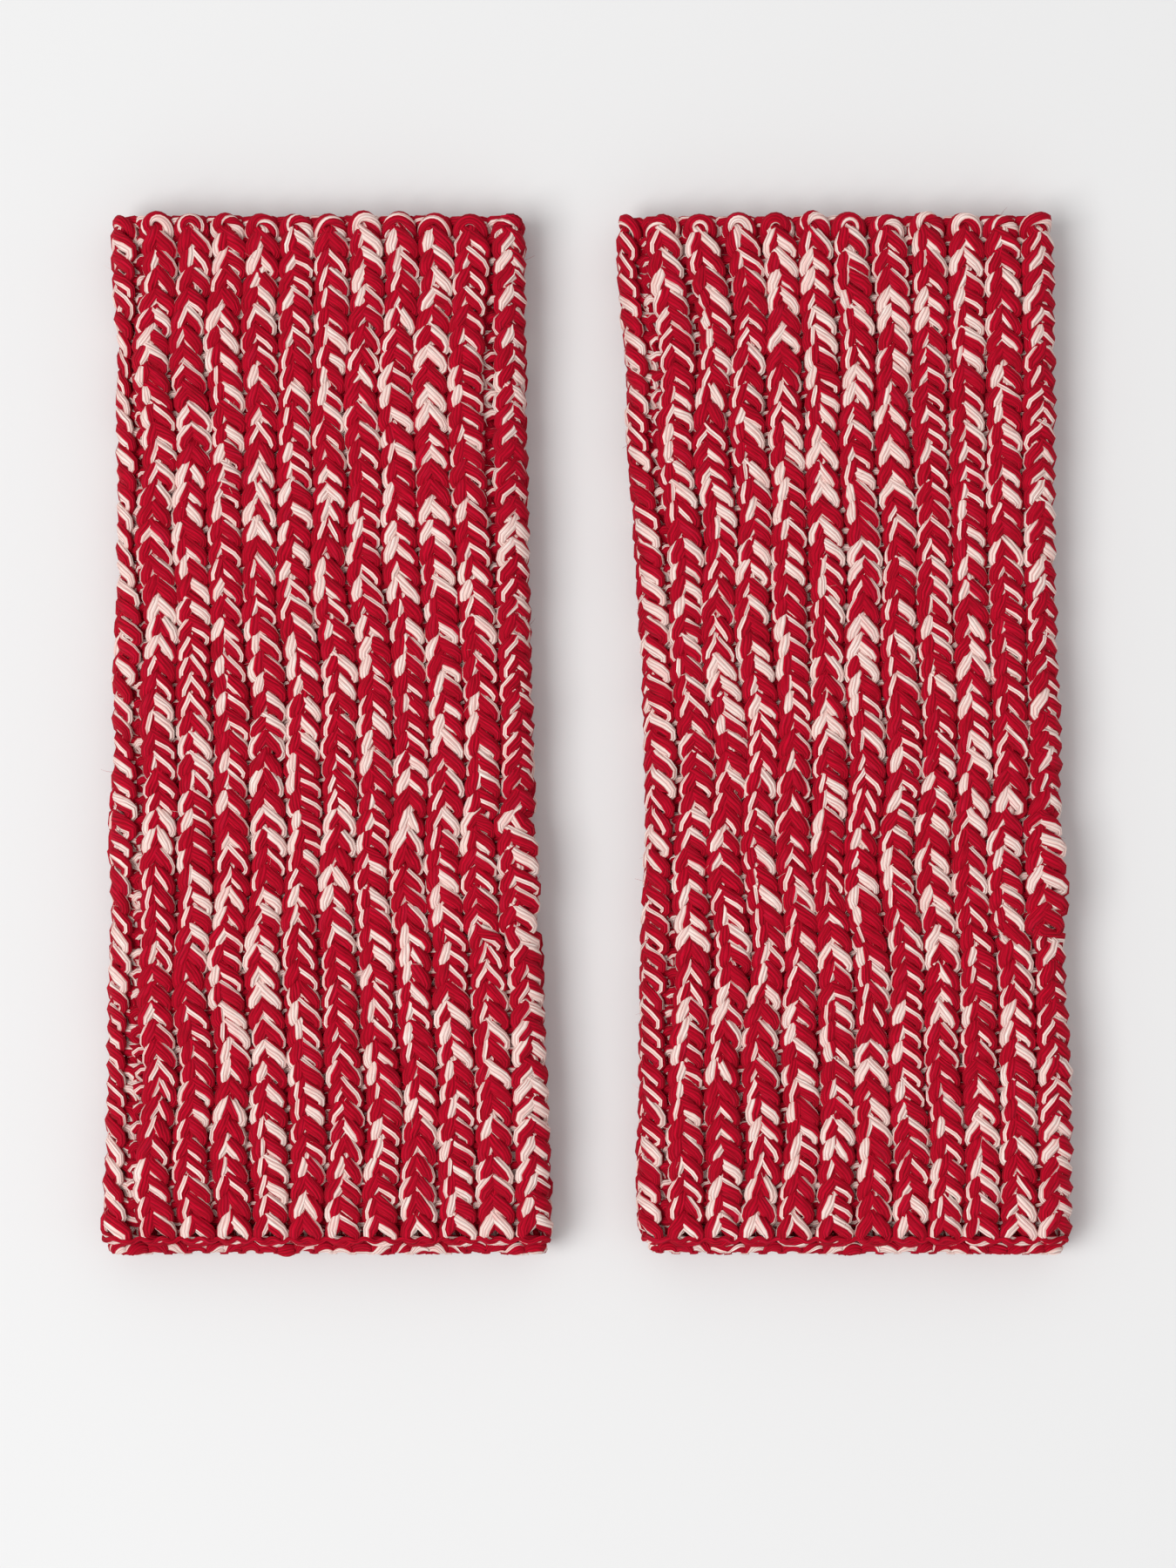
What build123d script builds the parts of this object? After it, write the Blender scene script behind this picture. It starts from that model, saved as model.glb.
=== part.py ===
"""A pair of fingerless gloves: two chunky tubes knitted in one-by-one rib, lying flat side by side.

+X runs across the pair, +Y runs from the finger ends to the arm ends, and +Z points up from the surface
that the gloves lie on. Each tube is one knitted panel folded round along its -X side and sewn up along
its +X side, with a stretch left unsewn for the thumb. The tube is cut at its middle height into a palm
half, which lies underneath, and a back half, which lifts off it when a hand opens the tube.
"""

import os
from math import sqrt

from build123d import *

# Driving dimensions, in millimetres
LENGTH = 240.4  # arm end to finger end
KNIT = 5.4  # thickness of one layer of the rib
HAND_GAP = 5.0  # room that the springy rib keeps between the two layers
BODY_GAP = 0.3  # clearance between the palm half and the back half
EDGE_DEPTH = 5.0  # how far the cast-on and bind-off rows reach in from an end
EDGE_ROUND = 2.4  # how far those rows are rounded over
SLIT_LENGTH = 32.0  # thumb opening, left unsewn in the side seam
SLIT_FROM_FINGERS = 72.0  # knitted length between the finger end and the thumb opening
SEAM_YARN = 2.0  # diameter of the yarn that the seam is sewn with
SEAM_MARGIN = 1.5  # where a run of sewing stops short of an end

# Outline of each glove: distance along Y, then its -X side and its +X side
OUTLINES = {
    "left": [
        (-115.2, -112.4, -7.0),
        (-90.0, -111.3, -8.2),
        (-60.0, -110.8, -9.2),
        (0.0, -110.0, -11.4),
        (60.0, -109.0, -13.0),
        (115.2, -109.8, -13.4),
    ],
    "right": [
        (-115.2, 11.6, 112.4),
        (-60.0, 12.1, 112.0),
        (0.0, 12.7, 110.0),
        (60.0, 9.7, 108.8),
        (115.2, 7.0, 108.4),
    ],
}

# Worked out from them
END = LENGTH / 2
SIDE_ROUND = KNIT + HAND_GAP / 2  # outer radius of the rounded sides, and the height of the middle
INNER_ROUND = HAND_GAP / 2
SLIT_LOW = -END + SLIT_FROM_FINGERS
SLIT_HIGH = SLIT_LOW + SLIT_LENGTH
HALVES = {"palm": -1, "back": 1}  # which way each half lies from the middle height


def side_x(glove, side, y):
    """Where the outline's -X (side 0) or +X (side 1) edge is at y, in straight runs between its points."""
    points = OUTLINES[glove]
    y = min(max(y, points[0][0]), points[-1][0])
    for low, high in zip(points, points[1:]):
        if y <= high[0]:
            share = (y - low[0]) / (high[0] - low[0])
            return low[1 + side] + share * (high[1 + side] - low[1 + side])
    return points[-1][1 + side]


def round_centre(glove, side, y):
    """Where a layer ends and its rounded side begins."""
    inward = 1 if side == 0 else -1
    return side_x(glove, side, y) + inward * SIDE_ROUND


def stations(glove, low, high):
    """The lengths at which a piece running from low to high has a section."""
    return [low, *(y for y, _, _ in OUTLINES[glove] if low < y < high), high]


def across(y):
    """The plane of a section at y, with X across the glove and Y measured up from the middle height."""
    return Plane(origin=(0, y, SIDE_ROUND), x_dir=(1, 0, 0), z_dir=(0, -1, 0))


def out_on_circle(radius, height):
    return sqrt(radius**2 - height**2)


def closed_side(y, x, outward, up):
    """Quarter ring about the round's centre x, from the middle height out to the flat layer."""
    low = BODY_GAP / 2
    diagonal = sqrt(0.5)
    with BuildSketch(across(y)) as section:
        with BuildLine():
            Line((x, up * INNER_ROUND), (x, up * SIDE_ROUND))
            ThreePointArc(
                (x, up * SIDE_ROUND),
                (x + outward * SIDE_ROUND * diagonal, up * SIDE_ROUND * diagonal),
                (x + outward * out_on_circle(SIDE_ROUND, low), up * low),
            )
            Line(
                (x + outward * out_on_circle(SIDE_ROUND, low), up * low),
                (x + outward * out_on_circle(INNER_ROUND, low), up * low),
            )
            ThreePointArc(
                (x + outward * out_on_circle(INNER_ROUND, low), up * low),
                (x + outward * INNER_ROUND * diagonal, up * INNER_ROUND * diagonal),
                (x, up * INNER_ROUND),
            )
        make_face()
    return section.sketch


def open_side(y, x, outward, up):
    """The same round where it isn't sewn, stopping level with the layer's inner face."""
    tip = out_on_circle(SIDE_ROUND, INNER_ROUND)
    diagonal = sqrt(0.5)
    with BuildSketch(across(y)) as section:
        with BuildLine():
            Line((x, up * INNER_ROUND), (x, up * SIDE_ROUND))
            ThreePointArc(
                (x, up * SIDE_ROUND),
                (x + outward * SIDE_ROUND * diagonal, up * SIDE_ROUND * diagonal),
                (x + outward * tip, up * INNER_ROUND),
            )
            Line((x + outward * tip, up * INNER_ROUND), (x, up * INNER_ROUND))
        make_face()
    return section.sketch


def side_sections(section, glove, side, up, low, high):
    """The rounded side's sections, one at each station from low to high."""
    outward = -1 if side == 0 else 1
    return [section(y, round_centre(glove, side, y), outward, up) for y in stations(glove, low, high)]


def save(part, label):
    part.label = label
    export_step(part, f"parts/{label}.step")


os.makedirs("parts", exist_ok=True)

for glove in OUTLINES:
    for half, up in HALVES.items():
        # Flat layer of rib between the two rounded sides
        with BuildPart() as layer:
            for y in stations(glove, -END + EDGE_DEPTH, END - EDGE_DEPTH):
                low_x = round_centre(glove, 0, y)
                high_x = round_centre(glove, 1, y)
                with BuildSketch(across(y)):
                    with Locations(((low_x + high_x) / 2, up * (INNER_ROUND + KNIT / 2))):
                        Rectangle(high_x - low_x, KNIT)
            loft(ruled=True)
        save(layer.part, f"{glove}_{half}_layer")

        # Rounded-over first and last rows of the knitting
        for edge, toward in {"cast_on_edge": 1, "bind_off_edge": -1}.items():
            low_x = round_centre(glove, 0, toward * END)
            high_x = round_centre(glove, 1, toward * END)
            height = SIDE_ROUND + up * (INNER_ROUND + KNIT / 2)
            with BuildPart() as edge_rows:
                with BuildSketch(Plane.YZ.offset(low_x)) as profile:
                    with Locations((toward * (END - EDGE_DEPTH / 2), height)):
                        Rectangle(EDGE_DEPTH, KNIT)
                    outer = profile.vertices().filter_by(lambda v: v.Y * toward > END - EDGE_DEPTH / 2)
                    fillet(outer, EDGE_ROUND)
                extrude(amount=high_x - low_x)
            save(edge_rows.part, f"{glove}_{half}_{edge}")

        # Folded side, closed all the way
        with BuildPart() as fold_side:
            loft(side_sections(closed_side, glove, 0, up, -END, END), ruled=True)
        save(fold_side.part, f"{glove}_{half}_fold_side")

        # Sewn side, closed below and above the thumb opening
        for stretch, low, high in (("finger", -END, SLIT_LOW), ("arm", SLIT_HIGH, END)):
            with BuildPart() as seam_side:
                loft(side_sections(closed_side, glove, 1, up, low, high), ruled=True)
            save(seam_side.part, f"{glove}_{half}_seam_side_{stretch}")

        # Unsewn selvedge along the thumb opening
        with BuildPart() as slit_edge:
            loft(side_sections(open_side, glove, 1, up, SLIT_LOW, SLIT_HIGH), ruled=True)
        save(slit_edge.part, f"{glove}_{half}_thumb_edge")

    # Sewing yarn, lying in the corner inside the seam and held by the palm half
    seat = (INNER_ROUND - SEAM_YARN / 2 - BODY_GAP / 2) * sqrt(0.5)
    seam_runs = (
        ("finger", -END + SEAM_MARGIN, SLIT_LOW - SEAM_MARGIN),
        ("arm", SLIT_HIGH + SEAM_MARGIN, END - SEAM_MARGIN),
    )
    for stretch, low, high in seam_runs:
        with BuildPart() as seam_yarn:
            for y in stations(glove, low, high):
                with BuildSketch(across(y)):
                    with Locations((round_centre(glove, 1, y) + seat, -seat)):
                        Circle(SEAM_YARN / 2)
            loft(ruled=True)
        save(seam_yarn.part, f"{glove}_seam_yarn_{stretch}")
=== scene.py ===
"""A pair of fingerless gloves, knitted in one-by-one rib from a chunky red and cream marled wool.

Every stitch is real yarn: one path runs back and forth along the rows of each glove, and a two-strand
section is carried along it. Lengths are in metres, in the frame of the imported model.
"""

import bpy
import numpy as np
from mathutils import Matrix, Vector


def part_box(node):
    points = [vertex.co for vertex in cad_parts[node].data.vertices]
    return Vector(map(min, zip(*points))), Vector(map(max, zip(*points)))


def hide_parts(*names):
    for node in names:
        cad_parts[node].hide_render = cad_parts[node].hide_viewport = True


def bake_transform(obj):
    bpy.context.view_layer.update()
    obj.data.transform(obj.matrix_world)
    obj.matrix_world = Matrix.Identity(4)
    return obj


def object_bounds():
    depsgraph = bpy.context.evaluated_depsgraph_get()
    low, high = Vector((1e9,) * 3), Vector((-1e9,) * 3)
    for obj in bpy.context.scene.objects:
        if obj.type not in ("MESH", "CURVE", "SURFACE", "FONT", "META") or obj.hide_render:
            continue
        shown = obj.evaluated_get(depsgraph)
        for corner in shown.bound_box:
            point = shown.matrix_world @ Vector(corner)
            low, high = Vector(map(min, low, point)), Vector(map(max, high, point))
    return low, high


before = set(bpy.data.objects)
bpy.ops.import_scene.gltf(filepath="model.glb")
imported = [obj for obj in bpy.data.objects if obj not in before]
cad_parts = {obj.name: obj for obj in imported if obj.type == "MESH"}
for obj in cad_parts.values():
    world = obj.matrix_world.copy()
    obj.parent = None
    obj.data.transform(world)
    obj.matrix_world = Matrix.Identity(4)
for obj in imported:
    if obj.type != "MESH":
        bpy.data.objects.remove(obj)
cad_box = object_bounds()

MM = 0.001

# Yarn
YARN = 2.15 * MM  # radius of the plied yarn
PRESSED = 0.72  # its thickness through the layer, as a share of its width
TWIST = 42 * MM  # length in which the two strands turn once round each other
STRANDS = (  # round the yarn: whether it is cream, its share of the surface, how many flats it has
    (True, 0.24, 2),
    (False, 0.26, 2),
    (True, 0.085, 1),
    (False, 0.415, 3),
)
GROOVE_DEPTH = 0.13  # of the groove where two strands meet, as a share of the yarn's radius
GROOVE_HALF = 0.3  # half its width, in radians round the yarn
THICK_VARIES = 0.035  # how much the yarn's thickness comes and goes
THICK_WAVES = (7 * MM, 11 * MM, 19 * MM, 31 * MM)
TWIST_VARIES = 2  # how far the twist strays in the edge rows and the seam, in radians
TWIST_WAVES = (23 * MM, 37 * MM, 61 * MM)
REST = 0.04 * MM  # how close the flattened undersides of the yarn come to the surface below

# Stitches
RIBS = 24  # knit and purl pairs round one glove
ROWS = 52
LAYER = 7.2 * MM  # thickness of one layer of the rib
REACH = 0.97  # half a loop's height, in rows
SPREAD = 2.0 * MM  # how far a loop's legs lean out sideways
SLANT = 0.16  # how far the loops lean over, as a share of their height
DEPTH = 0.85 * MM  # half of how far a loop's legs stand out from the middle of the layer
HEAD = 0.8 * MM  # how far its head does
TIGHT = 0.72  # thickness of the yarn in the turns of a loop, as a share of that in its legs
STEPS = 38  # yarn sections in one knit and purl pair
CROWD = 0.14  # how much closer they lie at the widest part of a loop, which bends most
PAIR_YARN = 48 * MM  # yarn taken up by one knit and purl pair, which sets how far it has twisted
TURN_BULGE = 0.9 * MM  # how far the yarn swings past the selvedge between two rows
TURN_SUNK = 1.2 * MM  # and how far it goes in

# How much single stitches differ, as standard deviations
PLACE_UNEVEN = 0.25 * MM  # in their place along the glove
SPREAD_UNEVEN = 0.06  # as a share of their spread
DEPTH_UNEVEN = 0.08  # as a share of their depth
TWIST_UNEVEN = 0.5  # in the yarn's twist, in radians

# Slow changes over a whole glove
SWELL = 0.25 * MM  # height of the shallow hollows and hills
SWELL_WAVES = (34 * MM, 52 * MM, 87 * MM, 23 * MM)
DRIFT = 0.8 * MM  # how far the ribs wander sideways
DRIFT_WAVES = (31 * MM, 47 * MM, 68 * MM, 110 * MM)
MARL = 2.8  # how far the twist strays, in radians, which makes patches of red and of cream
MARL_WAVES = (13 * MM, 19 * MM, 23 * MM, 31 * MM, 43 * MM, 67 * MM)
MARL_LONG = 0.55  # how fast it changes along a glove, beside how fast it does round it
FOLD_SHIFT = 2.2 * MM  # how far round from the even spacing the ribs at the fold lie
VALLEY_SIDE = 0.12  # how sharply an open valley begins, in rib pairs

# Sides
SELVEDGE = 1.5 * MM  # half the distance between the two selvedges in the seam
INSET_REACH = 14 * MM  # how far from the seam the ribs are crowded to make room for it
SUNK = 1.6 * MM  # how deep the seam lies between its two edge ribs
SUNK_HALF = 3.0 * MM  # half the width of that dip
SEAM_OUT = 2.7 * MM  # how far the edge ribs bulge past the seam
SEAM_OUT_REACH = 12 * MM  # and how far from the seam that still tells
SEAM_LIP = 2.5 * MM  # nearer to the seam than this the bulge is gone
SLIT_OPEN = 3.2 * MM  # how much further each selvedge is drawn back at the thumb opening
SLIT_OPEN_EASE = 4 * MM  # length along the glove in which that begins and ends
SLIT_FLARE = 3.0 * MM  # how far the knitting beside the opening stands out
SLIT_FLARE_EASE = 10 * MM  # length along the glove in which that begins and ends
SLIT_FLARE_REACH = 9 * MM  # and how far from the seam it still tells
OPEN_VALLEYS = {  # beside which rib pair from the seam, middle and half length along the glove, width
    "left": (
        (1, 76 * MM, 38 * MM, 2.6 * MM),
        (1, -33 * MM, 12 * MM, 1.4 * MM),
        (11, 20 * MM, 110 * MM, 0.8 * MM),
        (11, -79 * MM, 24 * MM, 2.4 * MM),
    ),
    "right": (
        (1, -31 * MM, 15 * MM, 1.5 * MM),
        (9, 112 * MM, 14 * MM, 0.8 * MM),
        (10, 106 * MM, 20 * MM, 1.0 * MM),
        (11, 88 * MM, 34 * MM, 1.8 * MM),
    ),
}

# Cast-on edge
CAST_ON = 6.2 * MM  # from the arm end to the middle of the first row
ARCH_YARN = 0.82  # radius of its yarn, as a share of the knitting's
ARCH_TOP = 0.6  # from the arm end to the top of an arch, in radii of the knitting's yarn
ARCH_HEIGHT = 4.2 * MM
ARCH_SPREAD = 1.3 * MM  # how much wider an arch is at its feet
ARCH_OUT = 2.2 * MM  # how far an arch stands out from the middle of the layer
ARCH_UNEVEN = 0.8 * MM  # by how much the lowest arch is lower than the highest
PURL_LOWER = 1.5 * MM  # and by how much those over purl ribs are lower

# Bind-off edge
BIND_OFF = 7.9 * MM  # from the finger end to the middle of the last row
BUMP_YARN = 1.02  # radius of its yarn at the middle of a bump, as a share of the knitting's
BUMP_FOOT = 0.8  # from the finger end to the middle of that yarn, in radii of the knitting's
BUMP_WAVE = 0.35 * MM  # how far it sways along the glove
BUMP_SWING = 0.45 * MM  # how far it sways round it
BUMP_UNEVEN = 0.2 * MM
BUMP_NECK = 0.42  # thickness between two bumps, as a share of that in a bump
BUMP_ROUND = 1.3  # how full the bumps are, less being fuller
CHAIN_YARN = 0.33  # radius of the chain's yarn, as a share of the knitting's
CHAIN_UP = 4.0 * MM  # from the finger end
CHAIN_WAVE = 0.3 * MM  # how far it sways along the glove
CHAIN_OUT = 2.2 * MM  # from the middle of the layer
CHAIN_DIP = 0.2 * MM  # how far it rises and falls on that

# Seam
LACING_YARN = 0.5  # radius of its yarn, as a share of the knitting's
LACING_STEPS = 16  # yarn sections in one stitch
LACING_WIDE = 2.0 * MM  # how far a stitch reaches to either side
LACING_OUT = 0.9 * MM  # from the middle of the layer
LACING_DEEP = 1.3 * MM  # how far it rises and falls on that

# Loose fibres
FIBRE = 0.045 * MM  # radius of a loose fibre, about four times a real one so that it shows
FIBRES = 4400  # on one glove
FIBRE_LENGTH = (1.0 * MM, 2.8 * MM)
FIBRE_LEAN = 0.7  # how far its root leans from straight out
FIBRE_BEND = 0.6  # how far its tip may bend aside, as a share of its length
FIBRE_TAPER = 0.6  # how much thinner its tip is than its root

# Wool as it is drawn, in patterns for each metre along and round the yarn
STREAKS = (260, 2300, 1)  # 4 mm by 0.4 mm
CLUMPS = (120, 420, 1)  # 8 mm by 2.4 mm
WAVE_PERIOD = np.pi / 10  # length of one wave of Blender's wave texture
PLY = 1.05 * MM  # width of one of the fine plies that make up a strand
PLIES = (45, WAVE_PERIOD / PLY, 1)
RELIEF = 0.0004  # height of the plies and of the fibres, in metres

# Studio
FLOOR_HALF = 3  # half the side of the floor
LAMP_PLACE = (-1.4, -0.5, 2.4)
LAMP_SIDE = 1.6
LAMP_POWER = 54  # watts
SURROUND = 0.6  # strength of the even white light from all round
LENS = 100  # focal length and sensor height in camera millimetres
SENSOR = 36
VIEW = 0.36  # length along the gloves that the camera sees
AIM = (0.0004, -0.0113)  # x and y that it looks straight down on

HEIGHT = cad_box[1][2] - cad_box[0][2]
END = cad_box[1][1]
ROW = (2 * END - CAST_ON - BIND_OFF) / (ROWS - 1)
ROUND = HEIGHT / 2 - LAYER / 2  # radius of the middle of the layer where the tube is folded


def waves(rng, lengths, directions=1):
    """A gentle random function: the sum of a few sine waves of these lengths, scaled to a spread of
    about one, each with a random phase and, in two directions, a random bearing."""
    phases = rng.uniform(0, 2 * np.pi, len(lengths))
    bearings = rng.uniform(0, 2 * np.pi, len(lengths))

    def value(x, y=0.0):
        total = 0.0
        for length, phase, bearing in zip(lengths, phases, bearings):
            run = x if directions == 1 else x * np.cos(bearing) + y * np.sin(bearing)
            total = total + np.sin(2 * np.pi * run / length + phase)
        return total / np.sqrt(len(lengths) / 2)

    return value


def hill(y, middle, half, height):
    """height * exp(-(distance from middle / half) squared)."""
    return height * np.exp(-(((y - middle) / half) ** 2))


def outline(glove):
    """x of the glove's folded and sewn outlines as functions of y: fourth-degree curves through the
    outermost points of the frame's own sides."""
    lines = []
    for nodes, outermost in (
        (["palm_fold_side"], np.min),
        (["palm_seam_side_finger", "palm_thumb_edge", "palm_seam_side_arm"], np.max),
    ):
        ys, xs = [], []
        for node_name in nodes:
            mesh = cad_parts[f"{glove}_{node_name}"].data
            points = np.empty(len(mesh.vertices) * 3)
            mesh.vertices.foreach_get("co", points)
            points = points.reshape(-1, 3)
            for y in np.unique(points[:, 1].round(5)):
                ys.append(y)
                xs.append(outermost(points[np.abs(points[:, 1] - y) < 1e-5, 0]))
        lines.append(np.polynomial.Polynomial.fit(ys, xs, 4))
    return lines


class Tube:
    """One glove's flattened tube, with its own slight unevenness."""

    def __init__(self, glove, rng):
        self.fold, self.seam = outline(glove)
        self.open_valleys = OPEN_VALLEYS[glove]
        low_slit, high_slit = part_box(f"{glove}_palm_thumb_edge")
        self.slit = (low_slit.y, high_slit.y)
        self.swell = waves(rng, SWELL_WAVES, 2)
        self.drift = waves(rng, DRIFT_WAVES, 2)
        self.marl = waves(rng, MARL_WAVES, 2)

    def girth(self, y):
        """Once round the middle of the layer: two flats and two half circles."""
        return 2 * (self.seam(y) - self.fold(y) - HEIGHT) + 2 * np.pi * ROUND

    def thumb(self, y, ease):
        """1 along the thumb opening and 0 away from it, by 3 s^2 - 2 s^3 over the length ease."""
        middle, half = np.mean(self.slit), (self.slit[1] - self.slit[0]) / 2
        window = np.clip((half - np.abs(y - middle)) / ease, 0, 1)
        return window * window * (3 - 2 * window)

    def around(self, pair, y):
        """Distance round the tube, from the seam over the back, of a place counted in rib pairs: girth *
        pair / all pairs, moved by slow waves and by a step of tanh at each open valley, and moved away
        from the seam by inset * exp(-distance / reach)."""
        girth = self.girth(y)
        d = girth * pair / RIBS
        d = d + FOLD_SHIFT * np.sin(np.pi * pair / RIBS) ** 2
        d = d + DRIFT * self.drift(d, y) * np.sin(np.pi * pair / RIBS)
        for place, middle, half, width in self.open_valleys:
            step = 0.5 + 0.5 * np.tanh((pair - place) / VALLEY_SIDE)
            d = d + hill(y, middle, half, width) * (step - pair / RIBS)
        inset = SELVEDGE + SLIT_OPEN * self.thumb(y, SLIT_OPEN_EASE)
        return d + inset * (np.exp(-d / INSET_REACH) - np.exp(-(girth - d) / INSET_REACH))

    def place(self, d, y, out):
        """Stadium section: quarter turn from the seam, flat back, half turn at the fold, flat palm,
        quarter turn. Gives the points at out from the middle of the layer, and their normals. Beside the
        seam the section bulges by exp(-distance / reach), and sinks by exp(-(distance / half) squared)
        in the seam itself."""
        flat = self.seam(y) - self.fold(y) - HEIGHT
        quarter = np.pi / 2 * ROUND
        first, second = quarter + flat, 3 * quarter + flat
        third = second + flat
        turn = np.where(d < quarter, d / ROUND, np.pi / 2)
        turn = np.where(d > first, np.pi / 2 + (d - first) / ROUND, turn)
        turn = np.where(d > second, 1.5 * np.pi, turn)
        turn = np.where(d > third, 1.5 * np.pi + (d - third) / ROUND, turn)
        run = np.clip(d - quarter, 0, flat) - np.clip(d - second, 0, flat)
        normal = np.stack([np.cos(turn), np.zeros_like(turn), np.sin(turn)], -1)
        edge = np.minimum(d, self.girth(y) - d)
        flare = SEAM_OUT * np.exp(-edge / SEAM_OUT_REACH)
        flare = flare + SLIT_FLARE * self.thumb(y, SLIT_FLARE_EASE) * np.exp(-edge / SLIT_FLARE_REACH)
        x = self.seam(y) - HEIGHT / 2 - run + flare * (1 - hill(edge, 0, SEAM_LIP, 1))
        middle = np.stack([x, y, np.full_like(x, HEIGHT / 2)], -1)
        reach = ROUND + out + SWELL * self.swell(d, y) - hill(edge, 0, SUNK_HALF, SUNK)
        return middle + normal * reach[..., None], normal


def stitches(crowd=0.0):
    """Once round a row: t, which grows by 2 pi in a stitch, and for each t its place counted in rib
    pairs, its stitch's number, and 1 in a knit stitch or -1 in a purl one. The sections crowd together
    by t = even steps + crowd * sin 4t."""
    t = np.linspace(-np.pi, 4 * np.pi * RIBS - np.pi, RIBS * STEPS + 1)
    t = t + crowd * np.sin(4 * t)
    pair = (t + np.pi) / (4 * np.pi)
    number = np.clip(((t + 2 * np.pi) // (2 * np.pi)).astype(int), 0, 2 * RIBS + 1)
    facing = np.where(np.floor(t / (2 * np.pi)) % 2 == 0, 1, -1)
    return t, pair, number, facing


def row_course(tube, row, rng):
    """One row of loops. Round the tube: the even place + spread * sin 2t + slant * height above the row.
    Along it: middle of the row + reach * cos t. Out of the layer: depth * (1 - cos 2t) + head *
    (1 - cos t) / 2, outwards in a knit loop and inwards in a purl one. Each loop's place, spread, depth
    and twist differ a little, and the yarn is thinner by sin^2 t where it turns."""
    t, pair, number, facing = stitches(CROWD)
    uneven = rng.normal(0, 1, (4, 2 * RIBS + 2))
    middle = END - CAST_ON - row * ROW + PLACE_UNEVEN * uneven[0, number] * np.sin(t) ** 2
    y = middle + REACH * ROW * np.cos(t)
    centre = tube.around(pair, y)
    d = centre + SPREAD * (1 + SPREAD_UNEVEN * uneven[1, number]) * np.sin(2 * t) + SLANT * (y - middle)
    depth = DEPTH * (1 + DEPTH_UNEVEN * uneven[2, number])
    out = facing * (depth * (1 - np.cos(2 * t)) + HEAD * (1 - np.cos(t)) / 2)
    phase = MARL * tube.marl(centre, MARL_LONG * row * ROW) - 2 * np.pi * PAIR_YARN * pair / TWIST
    phase = phase + TWIST_UNEVEN * uneven[3, number] * np.sin(t / 2) ** 2
    thin = TIGHT + (1 - TIGHT) * np.sin(t) ** 2
    return d, y, out, phase, thin


def course_path(tube, courses):
    """Joins rows into one yarn that turns back at the end of each. Between two rows every value runs
    evenly from one to the next, with a bulge and a dip of sin(pi * share) past the selvedge."""
    parts = []
    share = np.array([0.25, 0.5, 0.75])
    for number, (d, y, out, phase, thin) in enumerate(courses):
        if number % 2:
            d, y, out, phase, thin = d[::-1], y[::-1], out[::-1], -phase[::-1], thin[::-1]
        if parts:
            last = [values[-1] for values in parts[-1]]
            phase = phase + 2 * np.pi * np.round((last[3] - phase[0]) / (2 * np.pi))
            first = (d[0], y[0], out[0], phase[0], thin[0])
            turn = [before + share * (after - before) for before, after in zip(last, first)]
            turn[0] += TURN_BULGE * np.sin(np.pi * share) * (1 if number % 2 else -1)
            turn[2] -= TURN_SUNK * np.sin(np.pi * share)
            parts.append(turn)
        parts.append([d, y, out, phase, thin])
    d, y, out, phase, thin = (np.concatenate(values) for values in zip(*parts))
    return *tube.place(d, y, out), phase, thin


def add_piece(name, verts, faces, slots, uv, materials):
    """A smooth-shaded piece from its points, faces, each face's material and each corner's place in the
    yarn map, which is in metres along and round the yarn."""
    mesh = bpy.data.meshes.new(name)
    mesh.from_pydata(verts, [], faces)
    mesh.polygons.foreach_set("material_index", slots)
    mesh.polygons.foreach_set("use_smooth", np.ones(len(faces), bool))
    layer = mesh.uv_layers.new(name="yarn")
    layer.data.foreach_set("uv", uv.reshape(-1))
    for mat in materials:
        mesh.materials.append(mat)
    mesh.update()
    piece = bpy.data.objects.new(name, mesh)
    bpy.context.collection.objects.link(piece)
    return piece


def strand_flats():
    """Round the yarn: the angle of each corner between two flats, whether each flat is cream, and the
    corner's distance from the middle, which is 1 - groove depth * exp(-(angle from a groove / half
    width) squared)."""
    corner, cream, grooves = [0.0], [], [0.0]
    for is_cream, share, flats in STRANDS:
        corner += list(corner[-1] + np.linspace(0, 2 * np.pi * share, flats + 1)[1:])
        cream += [is_cream] * flats
        grooves.append(corner[-1])
    corner, cream = np.array(corner), np.array(cream)
    groove = np.min([np.abs(corner - place) for place in grooves], axis=0)
    return corner, cream, 1 - hill(groove, 0, GROOVE_HALF, GROOVE_DEPTH)


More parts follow.
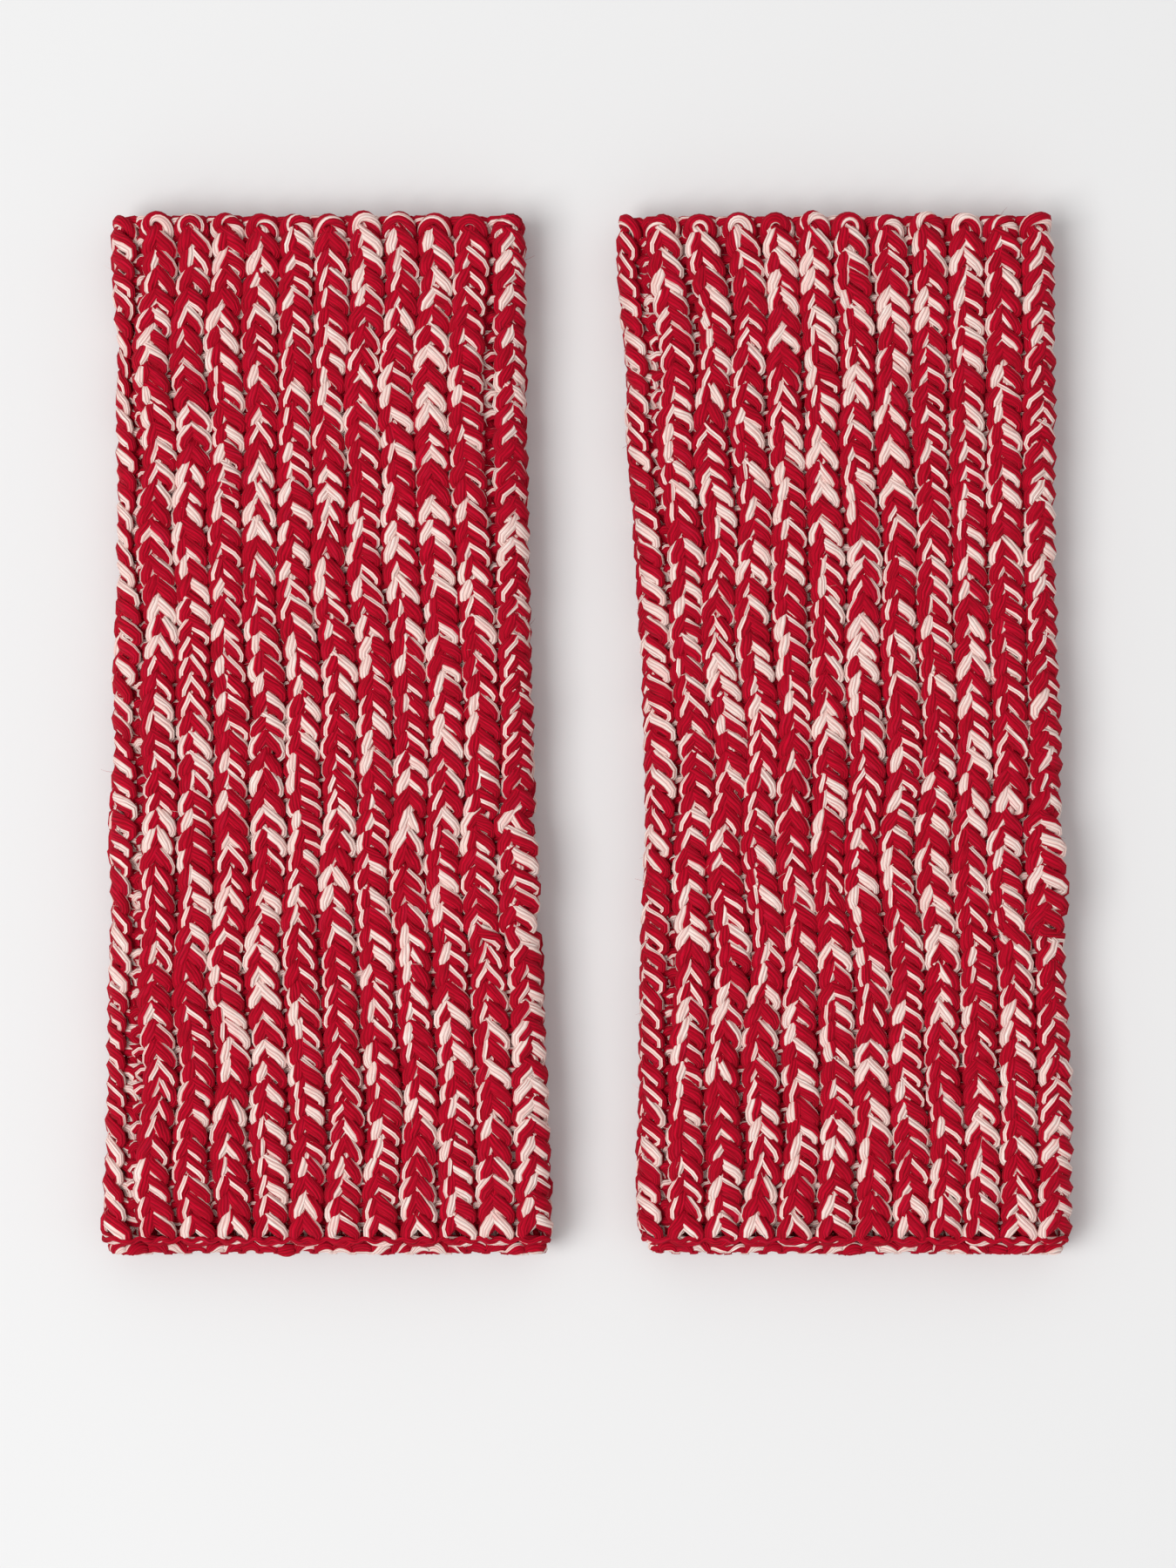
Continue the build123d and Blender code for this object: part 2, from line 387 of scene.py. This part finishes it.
def yarn_piece(name, path, normals, rng, radius=YARN, phase=None, thin=None, wools=None):
    """The plied section carried along the path: path + r * (pressed * cos a * up + sin a * side), where
    a is the flat's own angle + the twist so far. On the inside of a bend each point is drawn in to
    offset / (1 + offset * curvature), so that it never passes the bend's centre, and nothing goes lower
    than the surface that the gloves lie on."""
    tangent = np.gradient(path, axis=0)
    tangent /= np.linalg.norm(tangent, axis=1, keepdims=True)
    side = np.cross(tangent, normals)
    side /= np.linalg.norm(side, axis=1, keepdims=True)
    up = np.cross(side, tangent)
    length = np.concatenate([[0], np.cumsum(np.linalg.norm(np.diff(path, axis=0), axis=1))])
    corner, cream, profile = strand_flats()
    swell = waves(rng, THICK_WAVES)
    if phase is None:
        phase = TWIST_VARIES * waves(rng, TWIST_WAVES)(length) - 2 * np.pi * length / TWIST
    thickness = 1 + THICK_VARIES * swell(length)
    if thin is not None:
        thickness = thickness * thin
    angle = corner[None, :] + phase[:, None]
    r = radius * profile[None, :] * thickness[:, None]
    offset = (PRESSED * r * np.cos(angle))[..., None] * up[:, None, :]
    offset = offset + (r * np.sin(angle))[..., None] * side[:, None, :]
    bend = np.gradient(tangent, axis=0) / np.gradient(length)[:, None]
    inner = np.maximum((offset * bend[:, None, :]).sum(-1), 0)
    ring = path[:, None, :] + offset / (1 + inner)[..., None]
    ring[..., 2] = np.maximum(ring[..., 2], REST)
    rings, sides = len(path), len(cream)
    verts = ring[:, :sides].reshape(-1, 3)
    i, j = np.arange(rings - 1)[:, None], np.arange(sides)[None, :]
    k = (j + 1) % sides
    faces = np.stack([i * sides + j, i * sides + k, (i + 1) * sides + k, (i + 1) * sides + j], -1)
    around = np.concatenate([[0], np.cumsum(np.abs(np.diff(corner)))]) * radius
    here, there = length[:-1, None] + 0 * j, length[1:, None] + 0 * j
    near, far = around[None, :-1] + 0 * i, around[None, 1:] + 0 * i
    uv = np.stack([here, near, here, far, there, far, there, near], -1).reshape(-1, 2)
    slots = np.broadcast_to(~cream, (rings - 1, sides)).astype(int).reshape(-1)
    faces = faces.reshape(-1, 4).tolist()
    caps = np.stack([np.arange(sides)[::-1], (rings - 1) * sides + np.arange(sides)])
    faces += caps.tolist()
    slots = np.concatenate([slots, [1, 1]])
    uv = np.concatenate([uv, np.zeros((2 * sides, 2))])
    return add_piece(name, verts, faces, slots, uv, wools or (cream_wool, red_wool))


def linear(hex_colour):
    """sRGB hex to linear RGBA."""
    c = np.array([int(hex_colour[i : i + 2], 16) for i in (1, 3, 5)]) / 255
    c = np.where(c <= 0.04045, c / 12.92, ((c + 0.055) / 1.055) ** 2.4)
    return (*c, 1.0)


def node(tree, kind, settings=None, **links):
    """Adds a shader node. settings are its properties and constant inputs. links feed its inputs, named
    with _ for a space, or numbered after a first _."""
    added = tree.nodes.new(kind)
    for key, value in (settings or {}).items():
        if key in added.inputs:
            added.inputs[key].default_value = value
        else:
            setattr(added, key, value)
    for key, source in links.items():
        tree.links.new(source, added.inputs[int(key[1:]) if key[0] == "_" else key.replace("_", " ")])
    return added


def wool(name, shade, light, streak, crease_shade, sheen_tint):
    """Merino wool, woollen-spun and dyed as a strand of its own before the two were plied. That leaves
    its fibres crossed and their scaly ends standing up, so the eye sees a matt surface with no gleam, a
    faint halo against the light, and a colour that is streaked along the strand. The darker lines where
    its fine plies lie side by side are painted shade, in the crease colour. A fibre is 0.02 mm thick,
    which is too fine to show, so the streaks are drawn as bundles 0.4 mm wide, and the plies 1 mm wide.
    The IOR is that of wool, 1.54, and the specular level is low, because the crossed fibres scatter the
    gloss away."""
    mat = bpy.data.materials.new(name)
    mat.use_nodes = True
    tree = mat.node_tree
    shader = tree.nodes["Principled BSDF"]
    shader.inputs["Roughness"].default_value = 0.88
    shader.inputs["IOR"].default_value = 1.54
    shader.inputs["Specular IOR Level"].default_value = 0.12
    shader.inputs["Sheen Weight"].default_value = 0.08
    shader.inputs["Sheen Roughness"].default_value = 0.5
    shader.inputs["Sheen Tint"].default_value = linear(sheen_tint)
    place = node(tree, "ShaderNodeUVMap", {"uv_map": "yarn"}).outputs[0]

    # Streaks of fibre along the strand, from shade to light
    lie = node(tree, "ShaderNodeMapping", {"Scale": STREAKS}, Vector=place)
    fibres = node(
        tree,
        "ShaderNodeTexNoise",
        {"Scale": 1.0, "Detail": 3.0, "Roughness": 0.6},
        Vector=lie.outputs[0],
    )
    streaks = node(
        tree, "ShaderNodeMapRange", {"From Min": 0.3, "From Max": 0.7}, Value=fibres.outputs["Fac"]
    )
    tone = node(tree, "ShaderNodeMix", {"data_type": "RGBA"}, _0=streaks.outputs[0])
    tone.inputs[6].default_value = linear(shade)
    tone.inputs[7].default_value = linear(light)

    # Clumps that took the dye differently
    clump = node(tree, "ShaderNodeMapping", {"Scale": CLUMPS}, Vector=place)
    clumps = node(tree, "ShaderNodeTexNoise", {"Scale": 1.0, "Detail": 2.0}, Vector=clump.outputs[0])
    patch = node(
        tree,
        "ShaderNodeMapRange",
        {"From Min": 0.55, "From Max": 0.8, "To Max": 0.45},
        Value=clumps.outputs["Fac"],
    )
    dyed = node(tree, "ShaderNodeMix", {"data_type": "RGBA"}, _0=patch.outputs[0], _6=tone.outputs[2])
    dyed.inputs[7].default_value = linear(streak)

    # Painted shade: the creases between the fine plies are darkened towards the crease colour
    ply = node(tree, "ShaderNodeMapping", {"Scale": PLIES}, Vector=place)
    creases = node(
        tree,
        "ShaderNodeTexWave",
        {"bands_direction": "Y", "Scale": 1.0, "Distortion": 3.5, "Detail": 2.0, "Detail Scale": 1.5},
        Vector=ply.outputs[0],
    )
    shadow = node(
        tree,
        "ShaderNodeMapRange",
        {"From Max": 0.38, "To Min": 0.5, "To Max": 0},
        Value=creases.outputs["Fac"],
    )
    # Mixes the painted crease shade into the wool's colour
    with_painted_shade = node(tree, "ShaderNodeMix", {"data_type": "RGBA"}, _0=shadow.outputs[0], _6=dyed.outputs[2])
    with_painted_shade.inputs[7].default_value = linear(crease_shade)
    tree.links.new(with_painted_shade.outputs[2], shader.inputs["Base Color"])

    # Relief of the plies and of the fibres on them
    round_plies = node(
        tree, "ShaderNodeBump", {"Strength": 0.5, "Distance": RELIEF}, Height=creases.outputs["Fac"]
    )
    relief = node(
        tree,
        "ShaderNodeBump",
        {"Strength": 0.5, "Distance": RELIEF},
        Height=fibres.outputs["Fac"],
        Normal=round_plies.outputs[0],
    )
    tree.links.new(relief.outputs[0], shader.inputs["Normal"])
    return mat


def plain(name, colour, roughness):
    """One even colour, for the studio."""
    mat = bpy.data.materials.new(name)
    mat.use_nodes = True
    shader = mat.node_tree.nodes["Principled BSDF"]
    shader.inputs["Base Color"].default_value = linear(colour)
    shader.inputs["Roughness"].default_value = roughness
    return mat


# Undyed cream, with a pink cast painted in that stands partly for light bounced off the red beside it
# and partly for stray red fibres, and a deep clear red. The fourth colour of each is painted shade for
# the creases between its plies
cream_wool = wool("cream woollen strand", "#ecbcb2", "#fff4ec", "#f0a8a6", "#a04448", "#fff2ea")
red_wool = wool("red woollen strand", "#8c0014", "#d2002c", "#cc1c40", "#540008", "#ff7080")


def on_glove(piece, glove, *replaced, slot="marled_rib_knit"):
    """Bakes the piece's transform into its points, and hides the frame's parts that it stands in for."""
    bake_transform(piece)
    if replaced:
        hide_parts(*(f"{glove}_{node_name}" for node_name in replaced))


def both_halves(*names):
    return [f"{half}_{name}" for name in names for half in ("palm", "back")]


def loose_fibres(name, pieces, rng, count):
    """Fibre ends that stand out of the yarn: hair-thin three-sided spikes from random places on the
    pieces, each one a parabola: root + share * length * lift + share squared * length * bend."""
    roots, away, red = [], [], []
    for piece in pieces:
        mesh = piece.data
        faces = len(mesh.polygons)
        chosen = rng.choice(faces, count // len(pieces), replace=False)
        for key, store in (("center", roots), ("normal", away)):
            values = np.empty(faces * 3)
            mesh.polygons.foreach_get(key, values)
            store.append(values.reshape(-1, 3)[chosen])
        slots = np.empty(faces, int)
        mesh.polygons.foreach_get("material_index", slots)
        red.append(slots[chosen])
    roots, away, red = np.concatenate(roots), np.concatenate(away), np.concatenate(red)
    total = len(roots)
    lift = away + rng.normal(0, FIBRE_LEAN, (total, 3))
    lift /= np.linalg.norm(lift, axis=1, keepdims=True)
    bend = rng.uniform(-FIBRE_BEND, FIBRE_BEND, (total, 3))
    length = rng.uniform(*FIBRE_LENGTH, total)[:, None, None]
    share = np.array([0, 0.35, 0.7, 1.0])[None, :, None]
    spine = roots[:, None, :] + length * (share * lift[:, None, :] + share**2 * bend[:, None, :])
    spine[..., 2] = np.clip(spine[..., 2], FIBRE, None)
    across = np.cross(lift, bend)
    across /= np.linalg.norm(across, axis=1, keepdims=True)
    upright = np.cross(across, lift)
    corner = np.array([0, 2, 4]) * np.pi / 3
    ring = np.cos(corner)[:, None] * across[:, None, :] + np.sin(corner)[:, None] * upright[:, None, :]
    thick = FIBRE * (1 - FIBRE_TAPER * share)
    verts = spine[:, :, None, :] + thick[..., None] * ring[:, None, :, :]
    i, j = np.arange(3)[:, None], np.arange(3)[None, :]
    k = (j + 1) % 3
    first = 12 * np.arange(total)[:, None, None]  # each spike has four rings of three points
    quads = np.stack([i * 3 + j, i * 3 + k, i * 3 + 3 + k, i * 3 + 3 + j], -1).reshape(-1, 4)
    quads = (quads[None] + first).reshape(-1, 4)
    caps = (np.array([[2, 1, 0], [9, 10, 11]])[None] + first).reshape(-1, 3)
    slots = np.concatenate([np.repeat(red, 9), np.repeat(red, 2)])
    uv = np.repeat(rng.uniform(0, 1, (total, 2)), 9 * 4, axis=0)
    uv = np.concatenate([uv, np.repeat(rng.uniform(0, 1, (total, 2)), 2 * 3, axis=0)])
    faces = quads.tolist() + caps.tolist()
    return add_piece(name, verts.reshape(-1, 3), faces, slots, uv, (cream_wool, red_wool))


BANDS = {  # along each glove from the arm end, with the frame's nodes that each stands in for
    "arm": both_halves("layer", "fold_side", "seam_side_arm"),
    "wrist": [],
    "thumb": both_halves("thumb_edge"),
    "finger": both_halves("seam_side_finger"),
}


def rib(tube, glove, rng):
    """The rows of each band in one yarn, and the loose fibres on them."""
    band_rows = ROWS // len(BANDS)
    ribs = []
    for number, (band, replaced) in enumerate(BANDS.items()):
        rows = range(number * band_rows, (number + 1) * band_rows)
        path, normals, phase, thin = course_path(tube, [row_course(tube, row, rng) for row in rows])
        piece = yarn_piece(f"{glove}_{band}_rib", path, normals, rng, phase=phase, thin=thin)
        on_glove(piece, glove, *replaced)
        ribs.append(piece)
    on_glove(loose_fibres(f"{glove}_loose_fibres", ribs, rng, FIBRES), glove)


def cast_on(tube, glove, rng):
    """Arches over the end of every rib, wide at their feet: along the glove height * (1 + cos t) / 2
    down from the top, round it spread * sin t, and out of the layer out * (1 - cos t) / 2."""
    t, pair, number, facing = stitches()
    lower = rng.uniform(0, ARCH_UNEVEN, 2 * RIBS + 2)[number] + np.where(facing < 0, PURL_LOWER, 0)
    y = END - ARCH_TOP * YARN - ARCH_HEIGHT * (1 + np.cos(t)) / 2 - lower * (1 - np.cos(t)) / 2
    d = tube.around(pair, y) - ARCH_SPREAD * np.sin(t)
    path, normals = tube.place(d, y, facing * ARCH_OUT * (1 - np.cos(t)) / 2)
    piece = yarn_piece(f"{glove}_cast_on", path, normals, rng, radius=ARCH_YARN * YARN)
    on_glove(piece, glove, *both_halves("cast_on_edge"), slot="edge_rows")


def bind_off(tube, glove, rng):
    """A row that bulges once in every stitch: along the glove foot - wave * cos t, round it swing *
    sin t, and as thick as neck + (1 - neck) * |sin t / 2| ^ round. Above it on either face runs a thin
    red chain: along the glove up + wave * sin t, and out of the layer out + dip * cos t."""
    t, pair, number, _ = stitches()
    uneven = rng.normal(0, 1, 2 * RIBS + 2)[number] * np.sin(t / 2) ** 2
    y = -END + BUMP_FOOT * YARN - BUMP_WAVE * np.cos(t) + BUMP_UNEVEN * uneven
    d = tube.around(pair, y) - BUMP_SWING * np.sin(t)
    path, normals = tube.place(d, y, np.zeros_like(d))
    thin = BUMP_NECK + (1 - BUMP_NECK) * np.abs(np.sin(t / 2)) ** BUMP_ROUND
    piece = yarn_piece(f"{glove}_bind_off", path, normals, rng, radius=BUMP_YARN * YARN, thin=thin)
    on_glove(piece, glove, *both_halves("bind_off_edge"), slot="edge_rows")

    y = -END + CHAIN_UP + CHAIN_WAVE * np.sin(t)
    d = tube.around(pair, y)
    for side, face in (("outer", 1), ("inner", -1)):
        path, normals = tube.place(d, y, face * (CHAIN_OUT + CHAIN_DIP * np.cos(t)))
        name = f"{glove}_bind_off_{side}_chain"
        wools = (red_wool, red_wool)
        piece = yarn_piece(name, path, normals, rng, radius=CHAIN_YARN * YARN, wools=wools)
        on_glove(piece, glove, slot="edge_rows")


def seam(tube, glove, rng):
    """Sewing yarn laced between the two selvedges: round the tube wide * sin a, and out of the layer
    out + deep * cos 2a, where a turns once in every row."""
    for stretch in ("finger", "arm"):
        low_y, high_y = (corner.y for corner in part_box(f"{glove}_seam_yarn_{stretch}"))
        count = round((high_y - low_y) / ROW)
        angle = np.linspace(0, 2 * np.pi * count, LACING_STEPS * count + 1)
        y = low_y + (high_y - low_y) * angle / angle[-1]
        out = LACING_OUT + LACING_DEEP * np.cos(2 * angle)
        path, normals = tube.place(LACING_WIDE * np.sin(angle), y, out)
        piece = yarn_piece(f"{glove}_seam_{stretch}", path, normals, rng, radius=LACING_YARN * YARN)
        on_glove(piece, glove, f"seam_yarn_{stretch}", slot="seam_yarn")


for glove, seed in (("left", 11), ("right", 12)):
    rng = np.random.default_rng(seed)
    tube = Tube(glove, rng)
    rib(tube, glove, rng)
    cast_on(tube, glove, rng)
    bind_off(tube, glove, rng)
    seam(tube, glove, rng)

# Stage: a pale floor under one large soft lamp from the left and an even white surround
floor_corners = [(x * FLOOR_HALF, y * FLOOR_HALF, 0) for x, y in ((-1, -1), (1, -1), (1, 1), (-1, 1))]
floor_mesh = bpy.data.meshes.new("floor")
floor_mesh.from_pydata(floor_corners, [], [(0, 1, 2, 3)])
floor = bpy.data.objects.new("floor", floor_mesh)
floor.data.materials.append(plain("pale floor", "#e4e4e4", 0.9))
bpy.context.collection.objects.link(floor)

lamp = bpy.data.lights.new("soft_box", "AREA")
lamp.shape = "RECTANGLE"
lamp.size = LAMP_SIDE
lamp.size_y = LAMP_SIDE
lamp.energy = LAMP_POWER
lamp_object = bpy.data.objects.new("soft_box", lamp)
lamp_object.location = LAMP_PLACE
lamp_object.rotation_euler = (-lamp_object.location).to_track_quat("-Z", "Y").to_euler()
bpy.context.collection.objects.link(lamp_object)

world = bpy.data.worlds.new("studio")
world.use_nodes = True
world.node_tree.nodes["Background"].inputs["Color"].default_value = (1, 1, 1, 1)
world.node_tree.nodes["Background"].inputs["Strength"].default_value = SURROUND
bpy.context.scene.world = world
bpy.context.scene.view_settings.view_transform = "Standard"

# Camera: straight above, with a long lens
camera = bpy.data.cameras.new("camera")
camera.lens = LENS
camera.sensor_fit = "VERTICAL"
camera.sensor_height = SENSOR
camera_object = bpy.data.objects.new("camera", camera)
camera_object.location = (*AIM, VIEW * LENS / SENSOR + HEIGHT)
bpy.context.collection.objects.link(camera_object)
bpy.context.scene.camera = camera_object
